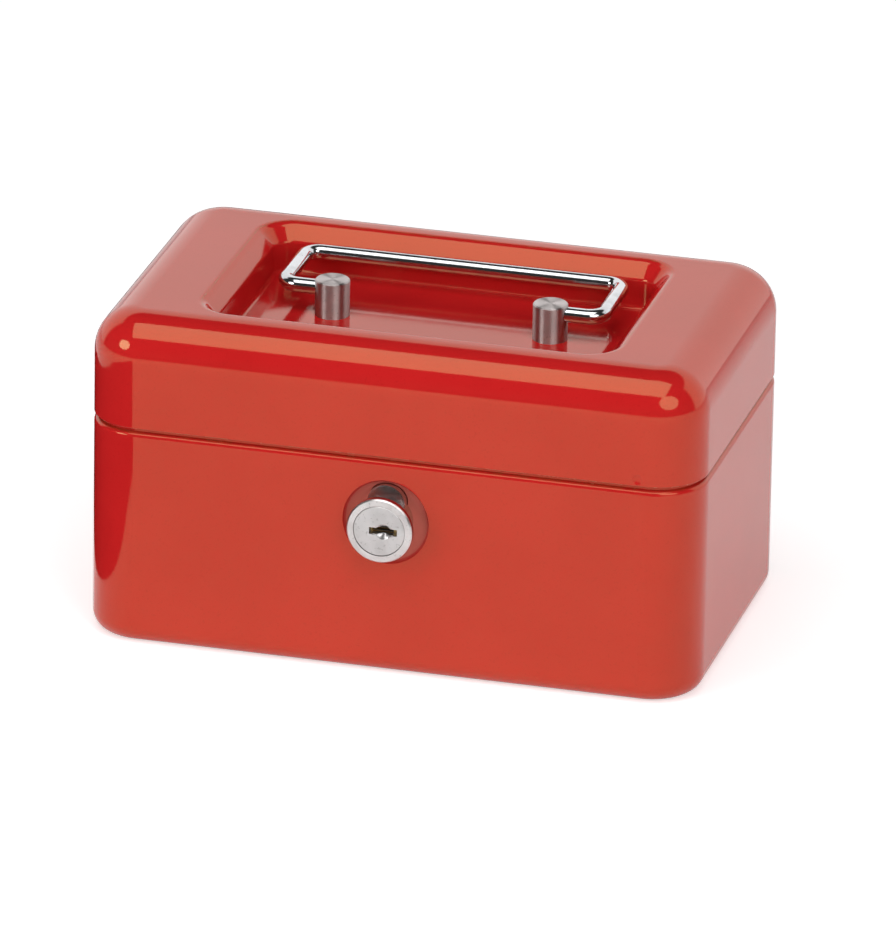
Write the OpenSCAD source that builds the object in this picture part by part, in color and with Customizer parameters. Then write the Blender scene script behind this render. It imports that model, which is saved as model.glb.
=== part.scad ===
// Small steel cash box with a folding bail handle, a cylinder lock and a lift-out coin tray.
// X runs to the right, Y to the rear and Z up. The origin is the middle of the base plate's underside.

/* [Box] */
// Width of the closed box
box_w = 152; // [130:1:220]
// Depth of the closed box, from front wall to rear wall
box_d = 92; // [80:1:140]
// Height of the closed box
box_h = 83; // [70:1:110]
// Outside radius of the four upright corners
corner_r = 13; // [12:0.5:16]
// Thickness of the pressed steel sheet
sheet_t = 1; // [0.8:0.1:1.2]

/* [Base] */
// Open gap between the shoulder and the lid's lower edge
seam_gap = 1; // [0.6:0.1:1.4]
// Outside radius round the bottom edge
base_edge_r = 4.4; // [2.5:0.1:8]
// Outside radius of the shoulder
shoulder_r = 1.3; // [0.8:0.1:1.8]
// Height of the upstand that the lid closes over
lip_h = 5; // [3:0.5:6]
// Gap between the upstand and the inside of the lid
lip_gap = 0.35; // [0.3:0.05:0.6]

/* [Lid] */
// Height of the lid, from its lower edge to the top
lid_h = 27.1; // [24:0.1:34]
// Outside radius round the top edge
lid_edge_r = 11; // [7:0.5:11]
// Width of the lid left beside the handle recess
side_land = 22; // [18:0.2:40]
// Width of the lid left in front of and behind the recess
front_land = 11.2; // [11:0.2:16]
// Depth of the handle recess
recess_depth = 11.5; // [10:0.5:14]
// Radius of the recess's corners at the top
recess_corner_r = 11; // [9:0.5:14]
// Radius of the rolled rim of the recess
recess_rim_r = 5.5; // [3:0.1:6]
// Radius at the foot of the recess wall
recess_foot_r = 1.8; // [1.5:0.1:3]
// Draft of the recess wall from upright, in degrees
recess_draft = 6; // [3:1:12]
// Diameter of the pressed dimple at the lid's front right edge
dimple_d = 2.8; // [2:0.1:4]

/* [Handle] */
// Gap between an arm of the handle and the recess wall beside it
handle_side_gap = 6.8; // [1:0.1:9]
// Gap between the bar of the handle and the recess wall behind it
handle_rear_gap = 0.8; // [0.5:0.1:3]
// Diameter of the handle wire
wire_d = 3.8; // [3:0.1:4.4]
// Radius of the wire's bends on its centre line
wire_bend_r = 5.4; // [4:0.1:8]
// Distance between the middle of a post and the arm beside it
post_inset = 12.55; // [10:0.05:16]
// Diameter of a post
post_d = 8.5; // [7.5:0.1:10]
// Height of the pivot above the recess floor
pivot_h = 6.6; // [5:0.1:7]
// Metal of a post above its bore
post_cap = 0.52; // [0.4:0.02:1]
// Distance of the posts behind the middle of the box
post_y = 3.2; // [0:0.1:4]
// Radial play of the wire in a post
pivot_play = 0.08; // [0.02:0.01:0.1]
// Thickness of the washer under a post
post_washer_t = 0.8; // [0.5:0.1:1.2]

/* [Hinges] */
// Distance between a hinge and the box's upright corner
hinge_corner_gap = 6; // [2:0.5:12]
// Length of a hinge
hinge_w = 30; // [20:1:40]
// Thickness of a hinge leaf
leaf_t = 1.2; // [0.8:0.1:1.5]
// Diameter of a hinge pin
hinge_pin_d = 2.4; // [1.6:0.1:2.6]
// Wall of a hinge knuckle round its pin
knuckle_wall = 1.15; // [0.8:0.05:1.3]
// Radial play of a hinge pin
pin_play = 0.05; // [0.02:0.01:0.1]
// Distance of the hinge axis inside the rear face
hinge_inset = 1.5; // [1:0.1:2]
// Distance of the hinge axis below the lid's lower edge
hinge_drop = 2.45; // [2:0.05:3]

/* [Lock] */
// Distance of the lock's axis below the base's shoulder
lock_drop = 15.5; // [13:0.1:20]
// Width of the dish's sloping side
dish_slope = 3.7; // [3:0.1:6]
// Depth of the dish
dish_depth = 2.4; // [1.5:0.1:2.8]
// Width of the dish's flat floor round the barrel
dish_floor = 0.8; // [0.5:0.1:2]
// Distance that the lock stands out of the front wall
lock_proud = 6.2; // [5:0.1:8]
// Width of the lock's flange round the plug's face
flange_rim = 1.69; // [1.2:0.01:2.5]
// Thickness of the flange
flange_t = 1.8; // [1.5:0.1:2.5]
// Wall of the lock's barrel round the plug
barrel_wall = 0.74; // [0.6:0.02:1]
// Length of the barrel behind the front wall
barrel_len = 11; // [10:0.5:14]
// Diameter of the lobe on top of the barrel
lobe_d = 9.3; // [8:0.1:10]
// Height of the lobe's middle above the lock's axis
lobe_rise = 4.8; // [4:0.1:5.5]
// Diameter of the plug's stem
plug_d = 9.8; // [9:0.1:11]
// Overhang of the plug's face round its stem
plug_overhang = 1.45; // [1.2:0.05:2]
// Radial play of the plug in the barrel
plug_play = 0.06; // [0.02:0.01:0.1]
// Wall of the plug at the end of the key slot
key_wall = 0.45; // [0.3:0.05:1]
// Height of the key slot
key_slot_h = 1.7; // [1.4:0.1:2]
// Distance of the key slot to the right of the plug's middle
key_offset = 1; // [0:0.1:1.2]
// Reach of the cam from the lock's axis
cam_reach = 20; // [18:0.5:22]
// Width of the cam
cam_w = 7; // [6:0.1:8]
// Thickness of the cam
cam_t = 1.5; // [1:0.1:2]
// Gap between the closed cam and the catch's shelf
catch_gap = 0.8; // [0.5:0.1:1.5]
// Width of the catch
catch_w = 9; // [7:0.5:12]
// Thickness of the catch
catch_t = 1.5; // [1:0.1:2]

/* [Coin tray] */
// Height of the tray's top above the base's shoulder
tray_rise = 4.6; // [2:0.1:6]
// Height of the tray
tray_h = 22; // [18:0.5:22]
// Wall thickness of the tray
tray_wall = 1.5; // [1.2:0.1:2]
// Gap between the tray and the base's upstand at each side
tray_side_gap = 2; // [1:0.1:4]
// Gap between the tray and the hinge knuckles
tray_rear_gap = 0.8; // [0.5:0.1:3]
// Number of coin troughs across the tray
troughs = 4; // [4:2:8]
// Gap between the catch and the side of the tray's notch
notch_gap = 6.5; // [3:0.5:8]
// Radius of the finger scoops in the tray's ends
scoop_r = 12; // [8:0.5:14]
// Depth of the finger scoops
scoop_depth = 8; // [4:0.5:10]
// Length of a tray bracket
rest_len = 50; // [30:1:60]
// Reach of a tray bracket from the side wall
rest_reach = 9; // [6:0.5:12]

/* [Hidden] */
$fn = 96;
cut = 0.5;              // how far a cutting shape runs past what it cuts
knit = 0.01;            // how far a straight wall runs into the curves that it joins

// Shells
lid_z = box_h - lid_h;                  // lower edge of the lid
seam_z = lid_z - seam_gap;              // the base's shoulder
lip_x = corner_r - sheet_t - lip_gap;   // outer face of the upstand, from the corner's axis
recess_w = box_w - 2 * side_land;
recess_d = box_d - 2 * front_land;
mouth_w = recess_w - 2 * recess_rim_r;  // between the walls, below the rolled rim
mouth_d = recess_d - 2 * recess_rim_r;
dimple_ball_r = 3.1;                    // ball that presses the dimple
dimple_depth = dimple_ball_r - sqrt(dimple_ball_r * dimple_ball_r - dimple_d * dimple_d / 4);
floor_z = box_h - recess_depth;         // upper face of the recess floor
front_y = -box_d / 2;
rear_y = box_d / 2;
inner_lip_y = rear_y - corner_r + lip_x - sheet_t;

// Handle
handle_w = mouth_w - 2 * handle_side_gap - wire_d;
handle_reach = mouth_d / 2 - handle_rear_gap - wire_d / 2 - post_y;
post_pitch = handle_w - 2 * post_inset;
post_h = pivot_h + wire_d / 2 + pivot_play + post_cap;
pivot_z = floor_z + pivot_h;
leg_bore_past = 0.6;                    // of a wire's bore past the middle of its post
leg_bore_depth = post_d / 2 + leg_bore_past;
leg_end_gap = 0.4;                      // between the wire's end and the bottom of its bore
spigot_d = 4;                           // shank of a post through the lid
spigot_play = 0.1;
rivet_head_d = 5.8;
rivet_head_t = 0.8;
post_washer_d = 9;
post_edge = 0.3;                        // chamfer on the top of a post

// Hinges
knuckle_d = hinge_pin_d + 2 * (pin_play + knuckle_wall);
hinge_pitch = box_w - 2 * (corner_r + hinge_corner_gap) - hinge_w;
hinge_y = rear_y - hinge_inset;
hinge_z = lid_z - hinge_drop;
leaf_len = 11;                          // flat of a leaf
leaf_corner_r = 2.5;
knuckle_neck = 1.4;                     // from the knuckles to the flat
knuckle_gap = 0.25;                     // between neighbouring knuckles
mid_knuckle = hinge_w / 3;
leaf_gap = 0.4;                         // around the knuckles in the shells
pin_head_t = 0.6;
pin_head_rim = 0.7;
pin_head_d = hinge_pin_d + 2 * pin_head_rim;
window_w = hinge_w + 2 * (pin_head_t + leaf_gap);

// Lock, measured along Y from its face
lock_z = seam_z - lock_drop;
plug_bore_d = plug_d + 2 * plug_play;
plug_face_d = plug_d + 2 * plug_overhang;
flange_d = plug_face_d + 2 * (plug_play + flange_rim);
barrel_step = 0.5;                      // by which the barrel is thinner behind the dish's floor
barrel_d = plug_bore_d + 2 * barrel_wall;
neck_d = barrel_d + 2 * barrel_step;    // barrel in front of the dish's floor
dish_floor_d = neck_d + 2 * dish_floor;
dish_d = dish_floor_d + 2 * dish_slope;
key_slot_w = plug_d - 2 * (key_offset + key_wall);
lock_y = front_y - lock_proud;
dish_y = front_y + dish_depth;          // floor of the dish, in front
barrel_end_y = front_y + barrel_len;
plug_head_t = 1.2;
hole_play = 0.15;                       // round the barrel in the dish
clip_t = 1;
clip_play = 0.05;
clip_reach = 3.8;                       // of the clip beyond the barrel
clip_w = barrel_d + 2 * clip_reach;
groove_depth = 0.45;
groove_d = barrel_d - 2 * groove_depth;
tang_w = 5;
tang_play = 0.05;
stop_t = 0.8;                           // stop washer
stop_ridge_t = 0.8;                     // ridge that limits the stop washer
stop_lug_angle = 34;
stop_turn = 90;
stop_slack = 2;                         // spare angle at each end of the turn
washer_gap = 0.05;
washer_inset = 0.3;                     // of the stop washer inside the plug's edge
cam_y = barrel_end_y + stop_t + 2 * washer_gap;
screw_d = 3;
screw_head_d = 5.8;
screw_head_t = 2;
screw_depth = 7;
screw_slot_w = 0.8;
thread_gap = 0.05;                      // between the screw and its hole
wafer_count = 5;
wafer_t = 0.8;
wafer_pitch = 1.9;
wafer_h = 3.6;
wafer_play = 0.08;
wafer_start = 0.6;                      // from the round keyhole to the first wafer
wafer_side = 0.8;                       // of a wafer inside each end of the key slot
wafer_slot_w = key_slot_w - 2 * wafer_side;
wafer_slot_h = 2;
wafer_step = 0.5;                       // between the key slots of two wafers
keyway_len = 12;
key_eye_d = 4.1;                        // round middle of the keyhole
key_eye_depth = 1.6;

// Catch
clip_side_gap = 2;                      // between the lock's clip and the catch
catch_x = clip_w / 2 + clip_side_gap + catch_w / 2;
catch_low_z = lock_z - cam_w / 2 - catch_gap - catch_t;
catch_weld_gap = 0.2;                   // between the upstand and the weld above it
catch_weld_z = lid_z + lip_h + catch_weld_gap;
catch_swing = hinge_z - catch_low_z;    // how far the catch hangs below the hinge axis
catch_clear = 0.4;                      // left between the swinging catch and the upstand
catch_radius = hinge_y + inner_lip_y - catch_clear;
catch_y = hinge_y - sqrt(catch_radius * catch_radius - catch_swing * catch_swing);
catch_bend_r = 1;
catch_flange = 8;
shelf_past = 0.8;                       // of the shelf behind the cam
shelf_end_y = cam_y + cam_t + shelf_past;

// Tray
tray_z = seam_z + tray_rise - tray_h;
tray_w = box_w - 2 * (corner_r - lip_x + sheet_t) - 2 * tray_side_gap;
tray_rear_y = hinge_y - knuckle_d / 2 - tray_rear_gap;
tray_d = 2 * tray_rear_y;
tray_corner_r = 7;
tray_seat_gap = 0.1;                    // between the tray and its brackets
trough_pitch = (tray_w - tray_wall) / troughs;
trough_r = (trough_pitch - tray_wall) / 2;
notch_w = 2 * (catch_x + catch_w / 2 + notch_gap);
notch_end_gap = 2.2;                    // between the catch's shelf and the end of the notch
notch_d = shelf_end_y + tray_rear_y + notch_end_gap;
rest_t = 1.2;
rest_drop = 12;                         // height of a bracket's welded flange
rest_bend_r = 1;

// ---------- shared shapes ----------

// Region from the corner's axis out to x, between two heights, with round outer edges
module edge_block(x, low, high, r_low, r_high) {
    difference() {
        translate([0, low]) square([x, high - low]);
        if (r_low > 0) translate([x - r_low, low]) corner_waste(r_low);
        if (r_high > 0) translate([x - r_high, high]) mirror([0, 1]) corner_waste(r_high);
    }
}

// What a round edge takes off the corner of a square
module corner_waste(r) {
    difference() {
        translate([0, -cut]) square([r + cut, r + cut]);
        translate([0, r]) circle(r);
    }
}

// Runs a wall profile round a rectangle with round corners; the profile's X is 0 on a corner's axis
module wall_sweep(w, d, r) {
    for (i = [0:3]) rotate(90 * i) {
        run = i % 2 == 0 ? w : d;
        out = i % 2 == 0 ? d : w;
        translate([r - run / 2, out / 2 - r, 0]) rotate([90, 0, 90])
            linear_extrude(run - 2 * r) children();
        translate([run / 2 - r, out / 2 - r, 0]) rotate_extrude(angle = 90) children();
    }
}

module flat_panel(w, d, z, t) {
    translate([-w / 2, -d / 2, z]) cube([w, d, t]);
}

module round_rect(w, d, r) {
    square([w - 2 * r, d], center = true);
    square([w, d - 2 * r], center = true);
    for (x = [-1, 1], y = [-1, 1]) translate([x * (w / 2 - r), y * (d / 2 - r)]) circle(r);
}

// Slice of a ring between two angles less than half a turn apart
module ring_slice(r_in, r_out, a0, a1) {
    reach = 2 * r_out;
    middle = (a0 + a1) / 2;
    intersection() {
        difference() { circle(r_out); circle(r_in); }
        polygon([[0, 0], reach * [cos(a0), sin(a0)], reach * [cos(middle), sin(middle)],
            reach * [cos(a1), sin(a1)]]);
    }
}

// Folded strip: each run is [length, turn at its end]; a turn to the left is positive
module bent_strip(runs, t, r, i = 0) {
    length = runs[i][0];
    turn = runs[i][1];
    square([length, t]);
    if (turn > 0) translate([length, t + r]) {
        ring_slice(r, r + t, -90, turn - 90);
        rotate(turn) translate([0, -t - r]) bent_strip(runs, t, r, i + 1);
    }
    if (turn < 0) translate([length, -r]) {
        ring_slice(r, r + t, 90 + turn, 90);
        rotate(turn) translate([0, r]) bent_strip(runs, t, r, i + 1);
    }
}

// Stands a profile drawn in Y and Z on its place and gives it a width about x
module across(x, w) {
    translate([x - w / 2, 0, 0]) rotate([90, 0, 90]) linear_extrude(w) children();
}

// Turns a shape drawn along +Z so that it runs back along the lock's axis from y
module lock_axis(y) {
    translate([0, y, lock_z]) rotate([-90, 0, 0]) children();
}

// ---------- base ----------

module base_profile() {
    difference() {
        edge_block(corner_r, 0, seam_z, base_edge_r, shoulder_r);
        edge_block(corner_r - sheet_t, sheet_t, seam_z - sheet_t, base_edge_r - sheet_t, 0);
        translate([-cut, sheet_t]) square([lip_x - sheet_t + cut, seam_z]);
    }
    translate([lip_x - sheet_t, seam_z - cut]) square([sheet_t, lip_h + cut]);
}

// Dish as a turned shape, grown by wall on its back
module dish_turned(wall) {
    rise = (pow((dish_d - dish_floor_d) / 2, 2) - dish_depth * dish_depth) / (2 * dish_depth);
    rotate_extrude() intersection() {
        union() {
            square([dish_floor_d / 2, dish_depth + wall]);
            translate([dish_floor_d / 2, -rise]) circle(dish_depth + rise + wall);
        }
        translate([0, -cut]) square([dish_d, dish_d]);
    }
}

// Outline of the barrel and its lobe; Y is down once it lies on the lock's axis
module barrel_outline(grow) {
    circle(barrel_d / 2 + grow);
    translate([0, -lobe_rise]) circle(lobe_d / 2 + grow);
}

module hinge_window(high) {
    for (side = [-1, 1])
        translate([side * hinge_pitch / 2 - window_w / 2, hinge_y - knuckle_d / 2 - cut,
            hinge_z - knuckle_d / 2 - leaf_gap]) cube([window_w, knuckle_d + 2 * cut, high]);
}

module body_shell() {
    color("firebrick") difference() {
        union() {
            wall_sweep(box_w, box_d, corner_r) base_profile();
            flat_panel(box_w - 2 * corner_r, box_d - 2 * corner_r, 0, sheet_t);
            intersection() {
                lock_axis(front_y) dish_turned(sheet_t);
                translate([-dish_d, front_y + sheet_t / 2, lock_z - dish_d])
                    cube([2 * dish_d, dish_d, 2 * dish_d]);
            }
        }
        lock_axis(front_y) dish_turned(0);
        lock_axis(front_y) linear_extrude(dish_depth + sheet_t + cut) barrel_outline(hole_play);
        hinge_window(box_h);
    }
}

// ---------- lid ----------

module lid_profile() {
    difference() {
        edge_block(corner_r, lid_z, box_h, 0, lid_edge_r);
        edge_block(corner_r - sheet_t, lid_z - cut, box_h - sheet_t, 0, lid_edge_r - sheet_t);
    }
}

// Rolled rim, drafted wall, foot and floor of the recess, from the corner's axis outwards
module recess_profile() {
    face = 180 - recess_draft;              // direction that the wall faces
    normal = [cos(face), sin(face)];
    down = [-sin(face), cos(face)];
    rim = [recess_corner_r, box_h - recess_rim_r];
    radii = recess_rim_r + recess_foot_r;
    wall_len = (rim[1] + radii * sin(recess_draft) - floor_z - recess_foot_r) / cos(recess_draft);
    wall_top = rim + recess_rim_r * normal;
    wall_foot = wall_top + wall_len * down;
    foot = wall_foot + recess_foot_r * normal;
    translate(rim) ring_slice(recess_rim_r - sheet_t, recess_rim_r, 90, face);
    polygon([wall_top - knit * down, wall_foot + knit * down,
        wall_foot + knit * down - sheet_t * normal, wall_top - knit * down - sheet_t * normal]);
    translate(foot) ring_slice(recess_foot_r, recess_foot_r + sheet_t, face - 180, -90);
    translate([0, floor_z - sheet_t]) square([foot[0], sheet_t]);
}

module lid_shell() {
    color("firebrick") difference() {
        union() {
            difference() {
                union() {
                    wall_sweep(box_w, box_d, corner_r) lid_profile();
                    flat_panel(box_w - 2 * corner_r, box_d - 2 * corner_r, box_h - sheet_t, sheet_t);
                }
                translate([0, 0, box_h - sheet_t - cut]) linear_extrude(sheet_t + 2 * cut)
                    round_rect(recess_w, recess_d, recess_corner_r);
            }
            wall_sweep(recess_w, recess_d, recess_corner_r) recess_profile();
            flat_panel(recess_w - 2 * recess_corner_r, recess_d - 2 * recess_corner_r,
                floor_z - sheet_t, sheet_t);
        }
        for (side = [-1, 1]) translate([side * post_pitch / 2, post_y, floor_z - sheet_t - cut])
            cylinder(h = sheet_t + 2 * cut, d = spigot_d + 2 * spigot_play);
        hinge_window(knuckle_d + 2 * leaf_gap);
        translate([box_w / 2 - corner_r - dimple_d / 2, front_y - dimple_ball_r + dimple_depth,
            lid_z + dimple_d / 2 + dimple_depth]) sphere(dimple_ball_r);
    }
}

// ---------- hinges ----------

// Flat of a leaf, with round corners at its free end
module leaf_outline() {
    difference() {
        translate([-hinge_w / 2, 0]) square([hinge_w, leaf_len]);
        for (end = [0, 1]) mirror([end, 0])
            translate([hinge_w / 2 - leaf_corner_r, leaf_len]) mirror([0, 1])
                corner_waste(leaf_corner_r);
    }
}

// Leaf with its knuckles; up is 1 for the lid's leaf and -1 for the base's
module hinge_leaf(side, up, knuckles) {
    flat_z = knuckle_d / 2 + knuckle_neck;
    skin_y = rear_y - sheet_t;
    color("silver") translate([side * hinge_pitch / 2, 0, hinge_z])
        mirror([0, 0, up > 0 ? 0 : 1]) difference() {
            union() {
                translate([0, skin_y, flat_z]) rotate([90, 0, 0]) linear_extrude(leaf_t)
                    leaf_outline();
                for (k = knuckles) translate([k[0] - k[1] / 2, 0, 0]) {
                    translate([0, skin_y - leaf_t, 0]) cube([k[1], leaf_t, flat_z]);
                    translate([0, hinge_y, 0]) rotate([0, 90, 0]) cylinder(h = k[1], d = knuckle_d);
                }
            }
            translate([-hinge_w, hinge_y, 0]) rotate([0, 90, 0])
                cylinder(h = 2 * hinge_w, d = hinge_pin_d + 2 * pin_play);
        }
}

module hinge_base_leaf(side) {
    outer = (hinge_w - mid_knuckle) / 2 - knuckle_gap;
    reach = (hinge_w - outer) / 2;
    hinge_leaf(side, -1, [[-reach, outer], [reach, outer]]);
}

module hinge_lid_leaf(side) {
    hinge_leaf(side, 1, [[0, mid_knuckle]]);
}

module hinge_pin(side) {
    color("gainsboro") translate([side * hinge_pitch / 2 - hinge_w / 2, hinge_y, hinge_z])
        rotate([0, 90, 0]) {
            cylinder(h = hinge_w, d = hinge_pin_d);
            translate([0, 0, -pin_head_t]) cylinder(h = pin_head_t, d = pin_head_d);
            translate([0, 0, hinge_w]) cylinder(h = pin_head_t, d = pin_head_d);
        }
}

// ---------- lock ----------

module lock_housing() {
    edge = 0.3;
    seat = dish_y - lock_y;
    color("silver") difference() {
        lock_axis(lock_y) {
            cylinder(h = edge, d1 = flange_d - 2 * edge, d2 = flange_d);
            translate([0, 0, edge]) cylinder(h = flange_t - edge, d = flange_d);
            translate([0, 0, flange_t]) cylinder(h = seat - flange_t, d = neck_d);
            translate([0, 0, lock_proud]) linear_extrude(barrel_len) barrel_outline(0);
            translate([0, 0, lock_proud + barrel_len]) stop_ridge();
        }
        lock_axis(lock_y - cut) cylinder(h = plug_head_t + cut + washer_gap,
            d = plug_face_d + 2 * plug_play);
        lock_axis(lock_y) cylinder(h = lock_proud + barrel_len + cut, d = plug_bore_d);
        lock_axis(dish_y + sheet_t) clip_groove();
    }
}

// Ridge on the barrel's rear end with a gap in which the stop washer's lug turns
module stop_ridge() {
    gap = stop_turn + stop_lug_angle + 2 * stop_slack;
    start = -90 - stop_lug_angle / 2 - stop_slack;
    linear_extrude(stop_ridge_t) difference() {
        circle(barrel_d / 2);
        circle(plug_bore_d / 2);
        rotate(start) ring_slice(plug_d / 4, barrel_d, 0, gap);
    }
}

// Grooves across both sides of the barrel for the clip's legs
module clip_groove() {
    linear_extrude(clip_t + 2 * clip_play) difference() {
        square(2 * clip_w, center = true);
        circle(groove_d / 2);
        translate([-groove_d / 2, -clip_w]) square([groove_d, clip_w]);
    }
}

module lock_clip() {
    inner = groove_d + 2 * clip_play;
    color("gainsboro") lock_axis(dish_y + sheet_t) linear_extrude(clip_t) difference() {
        round_rect(clip_w, clip_w, 2);
        circle(inner / 2);
        translate([-inner / 2, -clip_w]) square([inner, clip_w]);
    }
}

module keyway() {
    translate([key_offset, 0]) square([key_slot_w, key_slot_h], center = true);
}

module lock_plug() {
    edge = 0.2;
    stem = lock_proud + barrel_len;
    color("lightgray") difference() {
        lock_axis(lock_y) {
            cylinder(h = edge, d1 = plug_face_d - 2 * edge, d2 = plug_face_d);
            translate([0, 0, edge]) cylinder(h = plug_head_t - edge, d = plug_face_d);
            cylinder(h = stem, d = plug_d);
            translate([-tang_w / 2, -tang_w / 2, stem])
                cube([tang_w, tang_w, stop_t + 2 * washer_gap + cam_t - washer_gap]);
        }
        lock_axis(lock_y - cut) linear_extrude(keyway_len + cut) keyway();
        lock_axis(lock_y - cut) translate([key_offset, 0, 0])
            cylinder(h = key_eye_depth + cut, d = key_eye_d);
        for (i = [0:wafer_count - 1]) lock_axis(wafer_y(i) - wafer_play)
            linear_extrude(wafer_t + 2 * wafer_play)
                square([plug_d + cut, wafer_h + 2 * wafer_play], center = true);
        lock_axis(cam_y + cam_t - screw_depth) cylinder(h = screw_depth + cut, d = screw_d);
    }
}

function wafer_y(i) = lock_y + key_eye_depth + wafer_start + i * wafer_pitch;

module lock_wafers() {
    color("goldenrod") for (i = [0:wafer_count - 1]) lock_axis(wafer_y(i)) linear_extrude(wafer_t)
        difference() {
            intersection() {
                square([plug_d, wafer_h], center = true);
                circle(plug_d / 2 - wafer_play);
            }
            translate([key_offset + wafer_step * (i % 3 - 1), 0])
                square([wafer_slot_w, wafer_slot_h], center = true);
        }
}

module tang_hole() {
    square(tang_w + 2 * tang_play, center = true);
}

module stop_washer() {
    color("silver") lock_axis(barrel_end_y + washer_gap) linear_extrude(stop_t) difference() {
        union() {
            circle(plug_d / 2 - washer_inset);
            rotate(-90 - stop_lug_angle / 2) ring_slice(1, barrel_d / 2, 0, stop_lug_angle);
        }
        tang_hole();
    }
}

module lock_cam() {
    color("silver") lock_axis(cam_y) linear_extrude(cam_t) difference() {
        union() {
            circle(barrel_d / 2);
            translate([-cam_w / 2, cam_w / 2 - cam_reach]) square([cam_w, cam_reach - cam_w / 2]);
            translate([0, cam_w / 2 - cam_reach]) circle(cam_w / 2);
        }
        tang_hole();
    }
}

module cam_screw() {
    color("gainsboro") difference() {
        union() {
            lock_axis(cam_y + cam_t) cylinder(h = screw_head_t, d = screw_head_d);
            lock_axis(cam_y + cam_t - screw_depth + cut)
                cylinder(h = screw_depth, d = screw_d - 2 * thread_gap);
        }
        lock_axis(cam_y + cam_t + screw_head_t / 2)
            translate([-screw_head_d / 2, -screw_slot_w / 2, 0])
                cube([screw_head_d, screw_slot_w, screw_head_t]);
    }
}

// Catch folded from strip: welded flange, step over the upstand, leg and shelf
module lid_catch() {
    skirt_y = front_y + sheet_t;
    bend = catch_bend_r + catch_t;
    step = catch_y - skirt_y + catch_t - 2 * bend;
    leg = catch_weld_z + catch_t - catch_low_z - 2 * bend;
    shelf = shelf_end_y - catch_y - bend;
    color("silver") across(catch_x, catch_w)
        translate([skirt_y, catch_weld_z + catch_flange]) rotate(-90)
            bent_strip([[catch_flange - bend, 90], [step, -90], [leg, 90], [shelf, 0]],
                catch_t, catch_bend_r);
}

// ---------- handle ----------

module handle() {
    arm_x = handle_w / 2;
    leg_tip = post_pitch / 2 + post_d / 2 - leg_bore_depth + leg_end_gap;
    color("gainsboro") translate([0, post_y, pivot_z]) {
        for (side = [-1, 1]) {
            translate([side * (side > 0 ? leg_tip : arm_x - wire_bend_r), 0, 0]) rotate([0, 90, 0])
                cylinder(h = arm_x - wire_bend_r - leg_tip, d = wire_d);
            translate([side * arm_x, wire_bend_r, 0]) rotate([-90, 0, 0])
                cylinder(h = handle_reach - 2 * wire_bend_r, d = wire_d);
            mirror([side > 0 ? 0 : 1, 0, 0]) {
                translate([arm_x - wire_bend_r, wire_bend_r, 0]) wire_bend(-90);
                translate([arm_x - wire_bend_r, handle_reach - wire_bend_r, 0]) wire_bend(0);
            }
        }
        translate([wire_bend_r - arm_x, handle_reach, 0]) rotate([0, 90, 0])
            cylinder(h = handle_w - 2 * wire_bend_r, d = wire_d);
    }
}

module wire_bend(start) {
    rotate(start) rotate_extrude(angle = 90) translate([wire_bend_r, 0]) circle(wire_d / 2);
}

module handle_post(side) {
    under = sheet_t + post_washer_t;
    color("darkgray") translate([side * post_pitch / 2, post_y, floor_z]) difference() {
        union() {
            cylinder(h = post_h - post_edge, d = post_d);
            translate([0, 0, post_h - post_edge])
                cylinder(h = post_edge, d1 = post_d, d2 = post_d - 2 * post_edge);
            translate([0, 0, -under]) cylinder(h = under, d = spigot_d);
            translate([0, 0, -under - rivet_head_t]) cylinder(h = rivet_head_t, d = rivet_head_d);
        }
        translate([side > 0 ? post_d / 2 - leg_bore_depth : -post_d, 0, pivot_h])
            rotate([0, 90, 0])
                cylinder(h = post_d / 2 + leg_bore_depth, d = wire_d + 2 * pivot_play);
    }
}

module post_washers() {
    color("silver") for (side = [-1, 1])
        translate([side * post_pitch / 2, post_y, floor_z - sheet_t - post_washer_t]) difference() {
            cylinder(h = post_washer_t, d = post_washer_d);
            translate([0, 0, -cut]) cylinder(h = post_washer_t + 2 * cut,
                d = spigot_d + 2 * spigot_play);
        }
}

// ---------- tray ----------

// Angle bracket welded to the side wall under the tray
module tray_rest(side) {
    bend = rest_bend_r + rest_t;
    color("silver") mirror([side > 0 ? 0 : 1, 0, 0])
        translate([box_w / 2 - sheet_t, rest_len / 2, tray_z - tray_seat_gap]) rotate([90, 0, 0])
            linear_extrude(rest_len) translate([0, -rest_drop]) rotate(90)
                bent_strip([[rest_drop - bend, 90], [rest_reach - bend, 0]], rest_t, rest_bend_r);
}

module tray_outline(inset) {
    difference() {
        round_rect(tray_w - 2 * inset, tray_d - 2 * inset, tray_corner_r - inset);
        translate([-notch_w / 2 - inset, -tray_d / 2 - cut])
            square([notch_w + 2 * inset, notch_d + inset + cut]);
    }
}

// Keeps what lies inside the tray's outline, inset from its edge
module within_tray(inset) {
    intersection() {
        children();
        translate([0, 0, tray_z - cut]) linear_extrude(tray_h + 2 * cut) tray_outline(inset);
    }
}

// Cross section of a trough: a half round with upright sides
module trough_section(r) {
    circle(r);
    translate([-r, 0]) square([2 * r, tray_h]);
}

// Trough number i, with its walls grown by wall
module trough(i, wall) {
    x = (i - (troughs - 1) / 2) * trough_pitch;
    blocked = abs(x) - trough_r < notch_w / 2;
    length = tray_d - 2 * tray_wall - (blocked ? notch_d : 0);
    translate([x, tray_d / 2 - tray_wall + wall, 0]) rotate([90, 0, 0])
        linear_extrude(length + 2 * wall) intersection() {
            translate([0, tray_z + tray_wall + trough_r]) trough_section(trough_r + wall);
            translate([-tray_w, tray_z]) square([2 * tray_w, tray_h + (wall > 0 ? 0 : cut)]);
        }
}

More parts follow.
